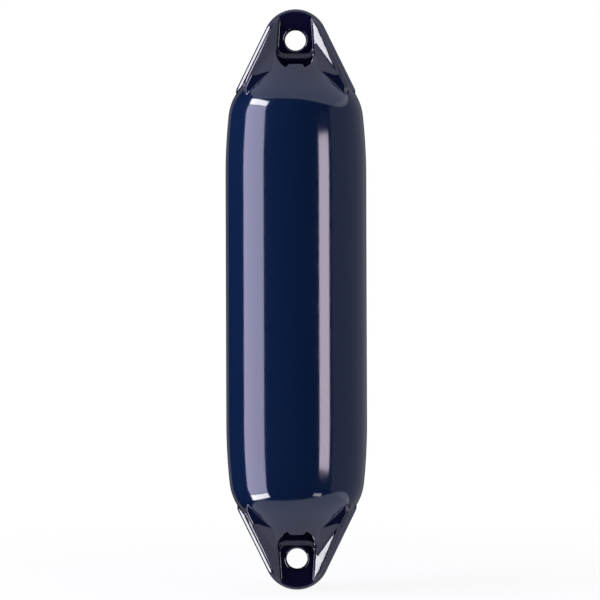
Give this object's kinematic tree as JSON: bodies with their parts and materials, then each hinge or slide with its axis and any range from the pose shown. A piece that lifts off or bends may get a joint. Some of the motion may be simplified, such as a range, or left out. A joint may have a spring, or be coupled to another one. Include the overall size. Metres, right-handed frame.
{
  "type": "boat fender",
  "caption": "Long round inflatable vinyl fender with soft shoulders and a flat ribbed rope eye moulded at each end, hung between a hull and a dock to take knocks.",
  "frame": {"origin": "middle of the barrel, on its axis", "axes": "+Z along the fender towards the eye end with the valve, -Y out of the front, which is square to the flat eyes, +X to the right seen from the front"},
  "size_m": [0.148, 0.148, 0.61],
  "materials": {
    "vinyl": "glossy navy blue soft vinyl",
    "nylon": "satin black moulded nylon",
    "seal_rubber": "matt black rubber"
  },
  "bodies": {
    "root": {"fender_body": "vinyl", "valve_seat": "nylon", "valve_seal": "seal_rubber", "valve_plug": "nylon"}
  },
  "joints": []
}
